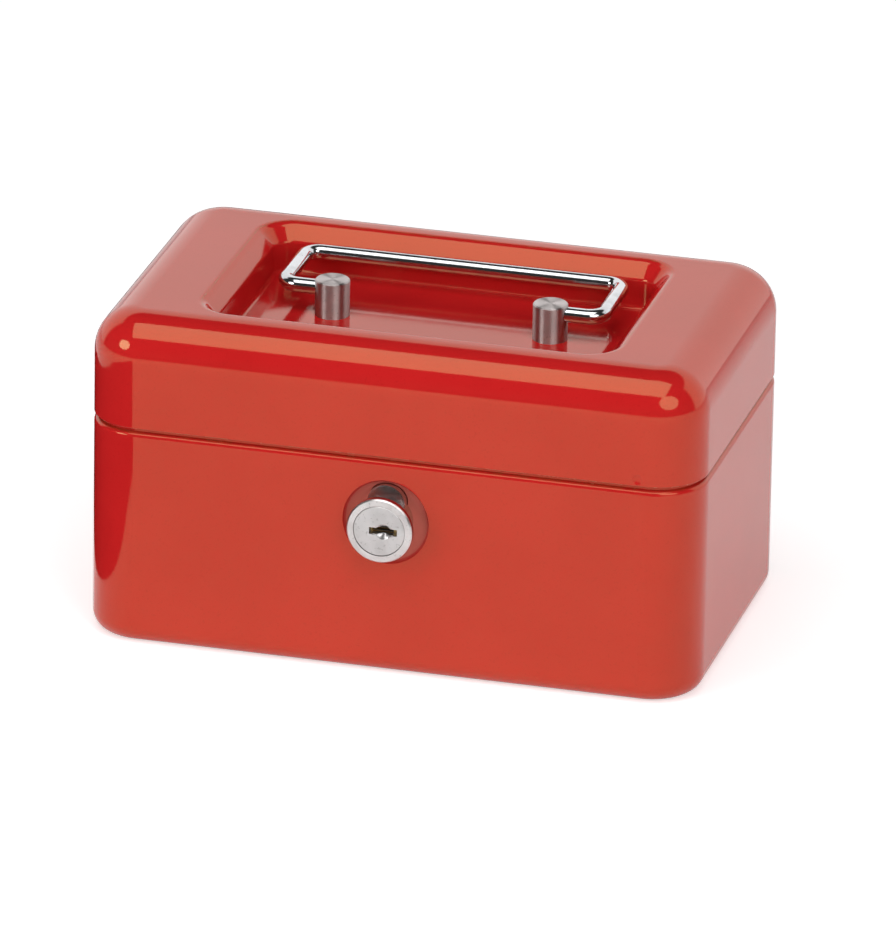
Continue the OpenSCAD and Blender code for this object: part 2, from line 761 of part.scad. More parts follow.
module coin_tray() {
    color("dimgray") difference() {
        union() {
            translate([0, 0, tray_z]) linear_extrude(tray_h) difference() {
                tray_outline(0);
                tray_outline(tray_wall);
            }
            translate([0, 0, tray_z + tray_h - tray_wall]) linear_extrude(tray_wall) tray_outline(0);
            within_tray(0) for (i = [0:troughs - 1]) trough(i, tray_wall);
        }
        within_tray(tray_wall) for (i = [0:troughs - 1]) trough(i, 0);
        for (side = [-1, 1]) translate([side * (tray_w - tray_wall) / 2, 0,
            tray_z + tray_h + scoop_r - scoop_depth]) rotate([0, 90, 0])
                cylinder(h = 2 * tray_wall, r = scoop_r, center = true);
    }
}

body_shell();
lid_shell();
hinge_base_leaf(-1);  // hinge_base_leaf_left
hinge_base_leaf(1);  // hinge_base_leaf_right
hinge_lid_leaf(-1);  // hinge_lid_leaf_left
hinge_lid_leaf(1);  // hinge_lid_leaf_right
hinge_pin(-1);  // hinge_pin_left
hinge_pin(1);  // hinge_pin_right
lock_housing();
lock_clip();
lock_plug();
lock_wafers();
stop_washer();
lock_cam();
cam_screw();
lid_catch();
handle();
handle_post(-1);  // handle_post_left
handle_post(1);  // handle_post_right
post_washers();
tray_rest(-1);  // tray_rest_left
tray_rest(1);  // tray_rest_right
coin_tray();
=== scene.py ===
"""Small pressed-steel cash box in red gloss enamel.

It has a folding wire handle, a cylinder lock and a lift-out coin tray.
"""

import math

import bmesh
import bpy
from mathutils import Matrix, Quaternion, Vector


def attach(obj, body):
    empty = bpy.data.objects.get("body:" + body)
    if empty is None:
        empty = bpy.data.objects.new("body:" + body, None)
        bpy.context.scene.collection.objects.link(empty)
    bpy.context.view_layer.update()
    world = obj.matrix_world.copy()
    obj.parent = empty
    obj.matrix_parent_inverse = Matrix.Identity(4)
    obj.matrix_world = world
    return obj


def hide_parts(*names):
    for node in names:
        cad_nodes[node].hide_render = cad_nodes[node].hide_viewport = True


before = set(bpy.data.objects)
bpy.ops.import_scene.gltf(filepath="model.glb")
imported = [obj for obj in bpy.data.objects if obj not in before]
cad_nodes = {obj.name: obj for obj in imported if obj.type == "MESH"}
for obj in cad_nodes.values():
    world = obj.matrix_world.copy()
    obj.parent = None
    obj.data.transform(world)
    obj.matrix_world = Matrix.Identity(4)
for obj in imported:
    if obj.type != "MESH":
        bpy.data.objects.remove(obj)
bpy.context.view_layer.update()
scene = bpy.context.scene
scene.view_settings.view_transform = "Standard"


# ---- Camera ----
# A long lens stands almost three metres away, a little above the box and to its right, and it is
# rolled by one degree. The shift brings the box to the middle of the upright frame.
target = Vector((0, 0, 0.040))
camera_azimuth, camera_elevation, camera_roll = (math.radians(a) for a in (14.54, 21.77, 1.03))
camera_distance, focal_length, sight_end = 2.873, 454.5, 50
right_shift, down_shift, frame_height = 12.8, 17.4, 938


def seen_at(azimuth, elevation):
    """The direction from the box to what stands at these angles; zero azimuth is in front."""
    return Vector((
        math.sin(azimuth) * math.cos(elevation),
        -math.cos(azimuth) * math.cos(elevation),
        math.sin(elevation),
    ))


camera_data = bpy.data.cameras.new("camera")
camera_data.lens = focal_length
camera_data.shift_x = right_shift / frame_height
camera_data.shift_y = -down_shift / frame_height
camera_data.clip_end = sight_end
camera = bpy.data.objects.new("camera", camera_data)
back = seen_at(camera_azimuth, camera_elevation)
camera.location = target + camera_distance * back
camera.rotation_mode = "QUATERNION"
camera.rotation_quaternion = (-back).to_track_quat("-Z", "Y") @ Quaternion((0, 0, 1), camera_roll)
scene.collection.objects.link(camera)
scene.camera = camera


# ---- Studio ----
# A white sweep behind and under the box, a dim room in front of it, and softboxes overhead and at
# both front corners. The box stands on a pale floor that keeps its shadow, and a dark card at its
# left is seen only in reflections.
class Value:
    """A node's output that takes part in sums: the operators add Math nodes."""

    def __init__(self, tree, socket):
        self.tree, self.socket = tree, socket

    def combine(self, operation, *operands):
        """The output of a Math node."""
        return self.tree.add("ShaderNodeMath", {"operation": operation}, dict(enumerate(operands)))

    def __add__(self, other):
        return self.combine("ADD", self, other)

    def __sub__(self, other):
        return self.combine("SUBTRACT", self, other)

    def __rsub__(self, other):
        return self.combine("SUBTRACT", other, self)

    def __mul__(self, other):
        return self.combine("MULTIPLY", self, other)

    def __pow__(self, other):
        return self.combine("POWER", self, other)

    __radd__, __rmul__ = __add__, __mul__

    def clip(self, low, high):
        """0 below low, 1 above high and a smooth rise between them."""
        return self.tree.add(
            "ShaderNodeMapRange",
            {"interpolation_type": "SMOOTHSTEP"},
            {"Value": self, "From Min": low, "From Max": high},
        )


class Nodes:
    """A node tree under construction."""

    def __init__(self, tree):
        self.tree = tree
        self.tree.nodes.clear()

    def add(self, kind, settings=None, inputs=None, output=0):
        """Adds a node with its settings and inputs, and returns one of its outputs."""
        node = self.tree.nodes.new(kind)
        for name, setting in (settings or {}).items():
            setattr(node, name, setting)
        for name, content in (inputs or {}).items():
            socket = node.inputs[name]
            if isinstance(content, Value):
                self.tree.links.new(content.socket, socket)
            elif socket.type == "RGBA":
                socket.default_value = (*content, 1)
            else:
                socket.default_value = content
        return Value(self, node.outputs[output]) if node.outputs else None

    def along(self, vector, axis):
        """The X, Y or Z of a vector."""
        return self.add("ShaderNodeSeparateXYZ", inputs={0: vector}, output=axis)


world = bpy.data.worlds.new("studio")
scene.world = world
world.use_nodes = True
studio = Nodes(world.node_tree)
direction = studio.add("ShaderNodeTexCoord", output="Generated")
behind, above = studio.along(direction, "Y"), studio.along(direction, "Z")
camera_ray = studio.add("ShaderNodeLightPath", output="Is Camera Ray")
glossy_ray = studio.add("ShaderNodeLightPath", output="Is Glossy Ray")
sweep_front, sweep_top, sweep_light, room_light = (0.10, 0.25), (0.70, 0.76), 1.15, 0.03
fill_top, fill_rear, fill_light, fill_rear_light = (0.20, 0.40), (0.50, 0.90), 1.20, 0.80
sweep = behind.clip(*sweep_front) * (1 - above.clip(*sweep_top))
low_fill = (1 - above.clip(*fill_top)) * (fill_light + fill_rear_light * behind.clip(*fill_rear))
mirrored = room_light + sweep_light * sweep
room_glow = mirrored * glossy_ray + low_fill * (1 - glossy_ray)
room = studio.add("ShaderNodeBackground", inputs={"Color": (1, 1, 1), "Strength": room_glow})
page = studio.add("ShaderNodeBackground", inputs={"Color": (1, 1, 1), "Strength": 1.0})
sky = studio.add("ShaderNodeMixShader", inputs={0: camera_ray, 1: room, 2: page})
studio.add("ShaderNodeOutputWorld", inputs={"Surface": sky})


def softbox(name, azimuth, elevation, distance, size, strength, outline="RECTANGLE"):
    """A lamp that faces the box; strength is the brightness of its face."""
    lamp_data = bpy.data.lights.new(name, "AREA")
    lamp_data.shape = outline
    lamp_data.size, lamp_data.size_y = size
    face_area = size[0] * size[1] * (math.pi / 4 if outline == "ELLIPSE" else 1)
    lamp_data.energy = strength * math.pi * face_area
    lamp = bpy.data.objects.new(name, lamp_data)
    away = seen_at(math.radians(azimuth), math.radians(elevation))
    lamp.location = target + distance * away
    lamp.rotation_mode = "QUATERNION"
    lamp.rotation_quaternion = away.to_track_quat("Z", "Y")
    scene.collection.objects.link(lamp)


softbox("softbox_top", azimuth=0, elevation=71, distance=1.6, size=(1.5, 1.22), strength=2.35)
softbox(
    "lamp_left",
    azimuth=-44,
    elevation=24,
    distance=2.0,
    size=(0.85, 0.70),
    strength=5.5,
    outline="ELLIPSE",
)
softbox(
    "lamp_right",
    azimuth=42,
    elevation=32,
    distance=2.0,
    size=(1.40, 1.15),
    strength=2.4,
    outline="ELLIPSE",
)


def finish(name):
    """A new material and its empty node tree."""
    material = bpy.data.materials.new(name)
    material.use_nodes = True
    return material, Nodes(material.node_tree)


glow_for_camera = 1.6


def flat_stage(name, corners, shade, glow):
    """A flat sheet of the studio, with a matt face that glows for the camera and in reflections."""
    mesh = bpy.data.meshes.new(name)
    mesh.from_pydata(corners, [], [list(range(len(corners)))])
    sheet = bpy.data.objects.new(name, mesh)
    scene.collection.objects.link(sheet)
    paint, tree = finish(name)
    matt = tree.add("ShaderNodeBsdfDiffuse", inputs={"Color": shade})
    seen = tree.add("ShaderNodeLightPath", output="Is Camera Ray")
    reflected = tree.add("ShaderNodeLightPath", output="Is Glossy Ray")
    strength = (seen * glow_for_camera + reflected) * glow
    light = tree.add("ShaderNodeEmission", inputs={"Color": (1, 1, 1), "Strength": strength})
    both = tree.add("ShaderNodeAddShader", inputs={0: matt, 1: light})
    tree.add("ShaderNodeOutputMaterial", inputs={"Surface": both})
    mesh.materials.append(paint)
    return sheet


floor_r, floor_sides = 4, 96
floor_angles = [math.tau * i / floor_sides for i in range(floor_sides)]
round_floor = [(floor_r * math.cos(a), floor_r * math.sin(a), 0) for a in floor_angles]
flat_stage("floor", round_floor, shade=(0.85, 0.85, 0.85), glow=0.35)

flag_x, flag_front_y, flag_rear_y, flag_low_z, flag_top_z = -0.104, -0.17, 0.3, 0.001, 0.057
flag_corners = [
    (flag_x, flag_rear_y, flag_low_z),
    (flag_x, flag_front_y, flag_low_z),
    (flag_x, flag_front_y, flag_top_z),
    (flag_x, flag_rear_y, flag_top_z),
]
flag = flat_stage("flag_left", flag_corners, shade=(0.02, 0.02, 0.02), glow=0)
flag.visible_camera = flag.visible_diffuse = flag.visible_shadow = False
flag.visible_transmission = False


# ---- Base shell ----
# A drawn steel pan with a round dish for the lock, a rolled shoulder and the upstand that the lid
# closes over. It is stove-enamelled in red gloss, which is thinnest where it runs over an edge.
# Its colour also has painted shade along the shoulder's brow under the lid, and a painted
# reflection that makes the inside of the dish paler.
def grain(tree, place, scale, detail):
    """Cloudy noise, from 0 to 1."""
    return tree.add("ShaderNodeTexNoise", {}, {"Vector": place, "Scale": scale, "Detail": detail})


def tint(tree, amount, first, second):
    """The first colour, taken towards the second by the amount."""
    settings = {"data_type": "RGBA", "clamp_factor": True}
    return tree.add("ShaderNodeMix", settings, {0: amount, 6: first, 7: second}, output=2)


def relief(tree, height, depth, under=None):
    """A surface direction that follows a height, with another relief under it."""
    inputs = {"Height": height, "Distance": depth, "Strength": 1.0}
    if under:
        inputs["Normal"] = under
    return tree.add("ShaderNodeBump", {}, inputs)


def cover(tree, looks):
    """Ends a material with a surface that has these looks."""
    surface = tree.add("ShaderNodeBsdfPrincipled", {}, looks)
    tree.add("ShaderNodeOutputMaterial", inputs={"Surface": surface})


def gloss_enamel(name, wear_and_seam_shade, haze_and_painted_reflection):
    """Red stove enamel; its masks give thin enamel with painted seam shade, and haze with a painted
    reflection, from 0 to 1.
    """
    bright, deep, fleck = (0.590, 0.0150, 0.0160), (0.555, 0.0130, 0.0140), (0.46, 0.010, 0.011)
    # thinned darkens thin enamel and also paints shade along the seam; hazed is a pale pink that
    # paints a reflection in the dish.
    thinned_and_shaded, hazed = (0.42, 0.050, 0.016), (0.62, 0.160, 0.130)
    material, tree = finish(name)
    place = tree.add("ShaderNodeTexCoord", output="Object")
    cloud = grain(tree, place, scale=34, detail=3)
    flecks = grain(tree, place, scale=1900, detail=1).clip(0.60, 0.74)
    patches = grain(tree, place, scale=300, detail=3).clip(0.42, 0.62)
    thin_and_seam_shade = wear_and_seam_shade(tree, place) * (0.25 + 0.5 * patches)
    haze = haze_and_painted_reflection(tree, place)
    red = tint(tree, cloud.clip(0.3, 0.7), bright, deep)
    red = tint(tree, flecks * 0.35, red, fleck)
    # The next two tints paint shade along the seam and a reflection in the dish, besides thin and
    # hazy enamel.
    red = tint(tree, thin_and_seam_shade, red, thinned_and_shaded)
    red = tint(tree, haze * (0.6 + 0.3 * cloud), red, hazed)
    swell = relief(tree, grain(tree, place, scale=20, detail=1), depth=1.2e-4)
    peel = relief(tree, grain(tree, place, scale=520, detail=2), depth=3.5e-6, under=swell)
    cover(tree, {
        "Base Color": red,
        "Roughness": 0.06 + 0.05 * cloud + 0.25 * thin_and_seam_shade + 0.30 * haze,
        "IOR": 1.6,
        "Specular Tint": (1.0, 0.97, 0.48),
        "Normal": peel,
    })
    return material


def dress(names, material):
    """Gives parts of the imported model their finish."""
    for name in names:
        for slot in cad_nodes[name].material_slots:
            slot.material = material


brow_start, brow_end, upstand_top = (0.0544, 0.0549), (0.0549, 0.0551), (0.0596, 0.0599)
lock_axis_z, dish_edge, dish_rear = 0.0394, (0.0096, 0.0108), (-0.0435, -0.0425)


def worn_and_shaded_shoulder(tree, place):
    """The brow of the shoulder, thin enamel with painted shade under the lid's edge, and the top of
    the upstand.
    """
    height = tree.along(place, "Z")
    brow = height.clip(*brow_start) * (1 - height.clip(*brow_end))
    return brow + height.clip(*upstand_top)


def from_lock_axis(tree, place):
    """The distance from the axis of the lock."""
    across, up = tree.along(place, "X"), tree.along(place, "Z") - lock_axis_z
    return (across * across + up * up) ** 0.5


def painted_dish_reflection(tree, place):
    """The inside of the dish, where the enamel is hazier and a painted reflection makes it paler
    and pinker.
    """
    inside = 1 - from_lock_axis(tree, place).clip(*dish_edge)
    return inside * (1 - tree.along(place, "Y").clip(*dish_rear))


base_enamel = gloss_enamel("red_enamel_base", worn_and_shaded_shoulder, painted_dish_reflection)
dress(["body_shell"], base_enamel)


# ---- Tray brackets and hinges ----
# Folded steel brackets carry the tray, and two rolled steel hinges join the shells. All are zinc
# plated and spot welded, and each weld on a hinge leaves a shallow round mark on its leaf.
def stretch(tree, place, scale):
    """The place, scaled along each axis; a small number draws a texture out along that axis."""
    return tree.add("ShaderNodeMapping", {}, {"Vector": place, "Scale": scale})


def zinc_plating(name, rolling):
    """Clear passivated zinc over steel; rolling is small along the way of the rolling marks."""
    bright, dull = (0.60, 0.61, 0.63), (0.50, 0.52, 0.53)
    yellowed, spot = (0.62, 0.58, 0.48), (0.30, 0.29, 0.27)
    material, tree = finish(name)
    place = tree.add("ShaderNodeTexCoord", output="Object")
    streaks = grain(tree, stretch(tree, place, rolling), scale=900, detail=3)
    blotch = grain(tree, place, scale=160, detail=4)
    stain = grain(tree, place, scale=60, detail=2).clip(0.45, 0.7)
    spots = grain(tree, place, scale=420, detail=2).clip(0.64, 0.72)
    plate = tint(tree, blotch.clip(0.35, 0.65), bright, dull)
    plate = tint(tree, stain * 0.5, plate, yellowed)
    plate = tint(tree, spots * 0.6, plate, spot)
    marks = relief(tree, streaks, depth=1.2e-5)
    cover(tree, {
        "Base Color": plate,
        "Roughness": 0.26 + 0.18 * streaks + 0.10 * blotch,
        "Metallic": 1.0,
        "Normal": relief(tree, blotch, depth=1.5e-5, under=marks),
    })
    return material


bracket_zinc = zinc_plating("zinc_brackets", (1, 0.04, 1))
hinge_zinc = zinc_plating("zinc_hinges", (0.04, 1, 1))
dress(["tray_rest_left", "tray_rest_right"], bracket_zinc)
dress(["hinge_base_leaf_left", "hinge_base_leaf_right"], hinge_zinc)
dress(["hinge_lid_leaf_left", "hinge_lid_leaf_right"], hinge_zinc)
dress(["hinge_pin_left", "hinge_pin_right"], hinge_zinc)


def build_tree(name, sizes):
    """A Geometry Nodes tree, and the geometry and the named sizes that it is given."""
    group = bpy.data.node_groups.new(name, "GeometryNodeTree")
    face = group.interface
    face.new_socket("Geometry", in_out="INPUT", socket_type="NodeSocketGeometry")
    face.new_socket("Geometry", in_out="OUTPUT", socket_type="NodeSocketGeometry")
    for size, (kind, start) in sizes.items():
        socket = face.new_socket(size, in_out="INPUT", socket_type=kind)
        if start is not None:
            socket.default_value = start
    tree = Nodes(group)
    given = tree.add("NodeGroupInput").socket.node.outputs
    return group, tree, {socket.name: Value(tree, socket) for socket in given}


def plain_mesh(holder):
    """A mesh of what an object's modifiers make of it."""
    bpy.context.view_layer.update()
    made = holder.evaluated_get(bpy.context.evaluated_depsgraph_get())
    return bpy.data.meshes.new_from_object(made)


def grow(name, seed_mesh, group, sizes):
    """Runs a tree on a mesh and returns a plain mesh object of what comes out."""
    holder = bpy.data.objects.new(name + "_seed", seed_mesh)
    scene.collection.objects.link(holder)
    modifier = holder.modifiers.new("build", "NODES")
    modifier.node_group = group
    for socket in group.interface.items_tree:
        if socket.item_type == "SOCKET" and socket.in_out == "INPUT" and socket.name in sizes:
            modifier[socket.identifier] = sizes[socket.name]
    shape = plain_mesh(holder)
    shape.name = name
    bpy.data.objects.remove(holder)
    piece = bpy.data.objects.new(name, shape)
    scene.collection.objects.link(piece)
    return piece


weld_tree, tree, given = build_tree(
    "weld_marks",
    {
        "Mark Radius": ("NodeSocketFloat", 0.0016),
        "Mark Height": ("NodeSocketFloat", 0.0002),
        "Mark Finish": ("NodeSocketMaterial", None),
    },
)
dome = tree.add("GeometryNodeMeshIcoSphere", {}, {"Radius": 1.0, "Subdivisions": 3}, output="Mesh")
size = tree.add(
    "ShaderNodeCombineXYZ",
    {},
    {"X": given["Mark Radius"], "Y": given["Mark Height"], "Z": given["Mark Radius"]},
)
welds = tree.add(
    "GeometryNodeInstanceOnPoints",
    {},
    {"Points": given["Geometry"], "Instance": dome, "Scale": size},
    output="Instances",
)
welds = tree.add("GeometryNodeRealizeInstances", {}, {"Geometry": welds})
welds = tree.add("GeometryNodeSetShadeSmooth", {}, {"Geometry": welds})
welds = tree.add(
    "GeometryNodeSetMaterial", {}, {"Geometry": welds, "Material": given["Mark Finish"]}
)
tree.add("NodeGroupOutput", {}, {"Geometry": welds})

hinge_x, hinge_axis_y, hinge_axis_z = 0.042, 0.0445, 0.05345
leaf_inner_y, weld_rise, weld_pitch = 0.0438, 0.0098, 0.0095
weld_zinc = zinc_plating("zinc_welds", (1, 1, 1))
for body, way in (("base", -1), ("lid", 1)):
    spots = [
        (side * hinge_x + step * weld_pitch, leaf_inner_y, hinge_axis_z + way * weld_rise)
        for side in (-1, 1)
        for step in (-1, 0, 1)
    ]
    spot_mesh = bpy.data.meshes.new("weld_spots_" + body)
    spot_mesh.from_pydata(spots, [], [])
    piece = grow("spot_welds_" + body, spot_mesh, weld_tree, {"Mark Finish": weld_zinc})
    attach(piece, body)


# ---- Lock housing ----
# A turned and milled zinc casting, nickel plated, with turning marks round its axis. It stands
# proud of the dish, and a spring-steel clip holds it from behind.
lock_face_end = (-0.0517, -0.0513)


def turned_nickel(name, light, dark, roughness, rings, polish=0, brushing=0.0, groove=1.5e-6):
    """Satin nickel with turning marks of a depth; rings gives the distance that they follow."""
    pit = (0.25, 0.24, 0.23)
    material, tree = finish(name)
    place = tree.add("ShaderNodeTexCoord", output="Object")
    reach = rings(tree, place)
    tool = {"noise_dimensions": "1D"}
    coarse = tree.add("ShaderNodeTexNoise", tool, {"W": reach, "Scale": 2600, "Detail": 2})
    fine = tree.add("ShaderNodeTexNoise", tool, {"W": reach, "Scale": 9000, "Detail": 1})
    polished = tree.along(place, "Y").clip(*lock_face_end) * polish
    cloud = grain(tree, place, scale=260, detail=3)
    pits = grain(tree, place, scale=1500, detail=2).clip(0.62, 0.72)
    plate = tint(tree, cloud.clip(0.35, 0.65), light, dark)
    plate = tint(tree, pits * 0.4, plate, pit)
    marks = relief(tree, coarse, depth=groove, under=relief(tree, fine, depth=groove))
    cover(tree, {
        "Base Color": plate,
        "Roughness": (roughness + 0.10 * cloud + 0.06 * coarse) * (1 - 0.35 * polished),
        "Metallic": 1.0,
        "Anisotropic": brushing,
        "Anisotropic Rotation": 0.25,
        "Normal": marks,
    })
    return material


lock_nickel = turned_nickel(
    "satin_nickel_lock",
    light=(0.72, 0.69, 0.68),
    dark=(0.62, 0.59, 0.58),
    roughness=0.22,
    rings=from_lock_axis,
    polish=1,
)
dress(["lock_housing"], lock_nickel)
dress(["lock_clip"], zinc_plating("zinc_clip", (1, 1, 0.05)))


# ---- Lock plug, wafers, washer and cam ----
# The nickel-plated plug turns in the housing with its brass wafers. The keyhole's round middle is
# countersunk. Behind it a stop washer and the zinc-plated cam are held by a cheese-head screw.
plug_nickel = turned_nickel(
    "satin_nickel_plug",
    light=(0.64, 0.625, 0.62),
    dark=(0.57, 0.555, 0.55),
    roughness=0.26,
    rings=from_lock_axis,
)
lock_face_y, key_x = -0.0522, 0.001
eye_r, eye_end_r, eye_depth, eye_sides = 0.00205, 0.0009, 0.0016, 48
cone_inset, cone_start, cone_wall, cone_floor = 0.00002, 0.00005, 0.0002, 0.0001
slot_half_w, slot_half_h, slot_start, slot_end = 0.00315, 0.00082, -0.001, 0.003


def revolve(name, ring_points, middle, sides):
    """Turns points given as distance and depth round an axis that runs to the rear."""
    shape = bmesh.new()
    rings = []
    for distance, depth in ring_points:
        rings.append([
            shape.verts.new((
                middle[0] + distance * math.cos(math.tau * i / sides),
                middle[1] + depth,
                middle[2] + distance * math.sin(math.tau * i / sides),
            ))
            for i in range(sides)
        ])
    for near, far in zip(rings, rings[1:] + rings[:1]):
        for i in range(sides):
            shape.faces.new((near[i], near[(i + 1) % sides], far[(i + 1) % sides], far[i]))
    bmesh.ops.recalc_face_normals(shape, faces=shape.faces)
    mesh = bpy.data.meshes.new(name)
    shape.to_mesh(mesh)
    shape.free()
    return mesh


def block(name, low, high):
    """A rectangular cutter."""
    shape = bmesh.new()
    bmesh.ops.create_cube(shape, size=1)
    for v in shape.verts:
        v.co = [low[k] if v.co[k] < 0 else high[k] for k in range(3)]
    mesh = bpy.data.meshes.new(name)
    shape.to_mesh(mesh)
    shape.free()
    return mesh


def carve(piece, operation, tool_mesh):
    """Joins a tool to a piece or cuts it away, and leaves a plain mesh."""
    tool = bpy.data.objects.new(tool_mesh.name, tool_mesh)
    scene.collection.objects.link(tool)
    modifier = piece.modifiers.new("carve", "BOOLEAN")
    modifier.operation, modifier.solver, modifier.object = operation, "EXACT", tool
    result = plain_mesh(piece)
    piece.modifiers.clear()
    piece.data = result
    bpy.data.objects.remove(tool)


def crease(piece, angle):
    """Smooth faces with sharp edges past an angle, and directions that favour the large faces."""
    piece.data.polygons.foreach_set("use_smooth", [True] * len(piece.data.polygons))
    piece.data.set_sharp_from_angle(angle=math.radians(angle))
    modifier = piece.modifiers.new("weigh", "WEIGHTED_NORMAL")
    modifier.keep_sharp = True
    result = plain_mesh(piece)
    piece.modifiers.clear()
    piece.data = result


plug_mesh = cad_nodes["lock_plug"].data.copy()
merged = bmesh.new()
merged.from_mesh(plug_mesh)
bmesh.ops.remove_doubles(merged, verts=merged.verts, dist=1e-6)
merged.to_mesh(plug_mesh)
merged.free()
plug = bpy.data.objects.new("lock_plug_countersunk", plug_mesh)
scene.collection.objects.link(plug)

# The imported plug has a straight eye. A ring that is conical inside and has the key slot cut
# through it is joined into that eye.
cone_mesh = revolve(
    "countersink",
    [
        (eye_r - cone_inset, cone_start),
        (eye_end_r, eye_depth),
        (eye_end_r, eye_depth + cone_floor),
        (eye_r + cone_wall, eye_depth + cone_floor),
        (eye_r + cone_wall, cone_start),
    ],
    (key_x, lock_face_y, lock_axis_z),
    eye_sides,
)
cone = bpy.data.objects.new("countersink", cone_mesh)
scene.collection.objects.link(cone)
slot_mesh = block(
    "key_slot",
    (key_x - slot_half_w, lock_face_y + slot_start, lock_axis_z - slot_half_h),
    (key_x + slot_half_w, lock_face_y + slot_end, lock_axis_z + slot_half_h),
)
carve(cone, "DIFFERENCE", slot_mesh)
carve(plug, "UNION", cone.data.copy())
bpy.data.objects.remove(cone)
crease(plug, 30)
plug.data.materials.clear()
plug.data.materials.append(plug_nickel)
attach(plug, "lock_core")
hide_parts("lock_plug")


def brass_strip(name):
    """Punched brass, dull with handling and a little darker in its blotches."""
    bright, tarnished = (0.80, 0.58, 0.25), (0.55, 0.36, 0.13)
    material, tree = finish(name)
    place = tree.add("ShaderNodeTexCoord", output="Object")
    cloud = grain(tree, place, scale=900, detail=4)
    lines = grain(tree, stretch(tree, place, (0.05, 1, 1)), scale=4000, detail=1)
    cover(tree, {
        "Base Color": tint(tree, cloud.clip(0.3, 0.7), bright, tarnished),
        "Roughness": 0.22 + 0.25 * cloud,
        "Metallic": 1.0,
        "Normal": relief(tree, lines, depth=3e-6),
    })
    return material


dress(["lock_wafers"], brass_strip("brass_wafers"))
dress(["stop_washer", "lock_cam"], zinc_plating("zinc_cam", (1, 1, 0.05)))
dress(["cam_screw"], zinc_plating("zinc_screw", (1, 1, 1)))


# ---- Lid shell ----
# A drawn steel lid with a rolled top edge. Its handle recess has a rolled rim, a sloping upper wall
# that bends into a steep one, and a flat floor. The sheet is one millimetre thick throughout.

# The shell's sizes are in millimetres and degrees, and mm takes them to the scene's metres.
mm = 0.001
lid_low_z, lid_top_z, sheet, edge_round = 55.9, 83.0, 1.0, 0.3
outer_axis, outer_r, edge_roll_r, skirt_top_gap = (63.0, 33.0), 13.0, 11.0, 8
recess_axis, recess_r, rim_r = (43.0, 23.8), 10.1, 3.0
slope_facing, slope_len, slope_bend_r = 140.0, 3.5, 1.5
steep_facing, foot_r, recess_floor_z = 177.0, 1.1, 71.5
corner_steps, roll_steps, rim_steps, slope_steps, foot_steps = 24, 28, 12, 8, 10
first_brow_step, brow_rings, lip_brow_rings = 4, 2, 3


def facing(angle):
    """The direction, outwards and up, at an angle above level."""
    return Vector((math.cos(math.radians(angle)), math.sin(math.radians(angle))))


def bend(middle, radius, first, last, steps):
    """Places and directions along a bend; a hollow bend has a negative radius."""
    angles = [first + (last - first) * i / steps for i in range(steps + 1)]
    return [(middle + radius * facing(a), a) for a in angles]


def lid_ring(shape, axis, point):
    """One closed line of points round a rectangle with round corners."""
    distance, height = point
    ring = []
    for corner, (sx, sy) in enumerate(((1, 1), (-1, 1), (-1, -1), (1, -1))):
        for i in range(corner_steps + 1):
            a = math.radians(90 * corner + 90 * i / corner_steps)
            ring.append(shape.verts.new((
                mm * (sx * axis[0] + distance * math.cos(a)),
                mm * (sy * axis[1] + distance * math.sin(a)),
                mm * height,
            )))
    return ring


def down_from(angle):
    """The direction down a wall that faces an angle."""
    return Vector((-facing(angle).y, facing(angle).x))


roll_start_z = lid_top_z - edge_roll_r
outside = [
    (Vector((outer_r, lid_low_z + edge_round)), 0),
    (Vector((outer_r, roll_start_z - skirt_top_gap)), 0),
]
outside += bend(Vector((outer_r - edge_roll_r, roll_start_z)), edge_roll_r, 0, 90, roll_steps)
rim = bend(Vector((recess_r, lid_top_z - rim_r)), rim_r, 90, slope_facing, rim_steps)
slope_end = rim[-1][0] + slope_len * down_from(slope_facing)
slope_bend_middle = slope_end - slope_bend_r * facing(slope_facing)
wall = bend(slope_bend_middle, slope_bend_r, slope_facing, steep_facing, slope_steps)
drop = down_from(steep_facing)
foot_top_z = recess_floor_z + foot_r - foot_r * facing(steep_facing).y
foot_top = wall[-1][0] + drop * ((foot_top_z - wall[-1][0].y) / drop.y)
foot = bend(foot_top + foot_r * facing(steep_facing), -foot_r, steep_facing, 90, foot_steps)

shape = bmesh.new()
edge_layer = shape.verts.layers.float.new("thin_edge")
upper, under = [], []
for axis, points in ((outer_axis, outside), (recess_axis, rim + wall + foot)):
    for point, angle in points:
        upper.append(lid_ring(shape, axis, point))
        under.append(lid_ring(shape, axis, point - sheet * facing(angle)))
lip_rings = []
for face_r, way, angles in ((outer_r, -1, (30, 60, 90)), (outer_r - sheet, 1, (90, 60, 30))):
    for a in angles:
        distance = face_r + way * edge_round * (1 - math.cos(math.radians(a)))
        height = lid_low_z + edge_round * (1 - math.sin(math.radians(a)))
        lip_rings.append(lid_ring(shape, outer_axis, (distance, height)))
rings = [*reversed(upper), *lip_rings, *under]
for near, far in zip(rings, rings[1:]):
    for i in range(len(near)):
        k = (i + 1) % len(near)
        shape.faces.new((near[i], near[k], far[k], far[i]))
shape.faces.new(upper[-1])
shape.faces.new(under[-1])
# The marked rings carry thin enamel on the recess's rim, and on the lid's lower edge thin enamel
# with painted shade along the seam.
first_brow = len(outside) + first_brow_step
for ring in upper[first_brow:first_brow + brow_rings] + lip_rings[:lip_brow_rings]:
    for vertex in ring:
        vertex[edge_layer] = 1.0
bmesh.ops.remove_doubles(shape, verts=shape.verts, dist=1e-7)
bmesh.ops.recalc_face_normals(shape, faces=shape.faces)
lid_mesh = bpy.data.meshes.new("lid_shell_drawn")
shape.to_mesh(lid_mesh)
shape.free()
lid = bpy.data.objects.new("lid_shell_drawn", lid_mesh)
scene.collection.objects.link(lid)

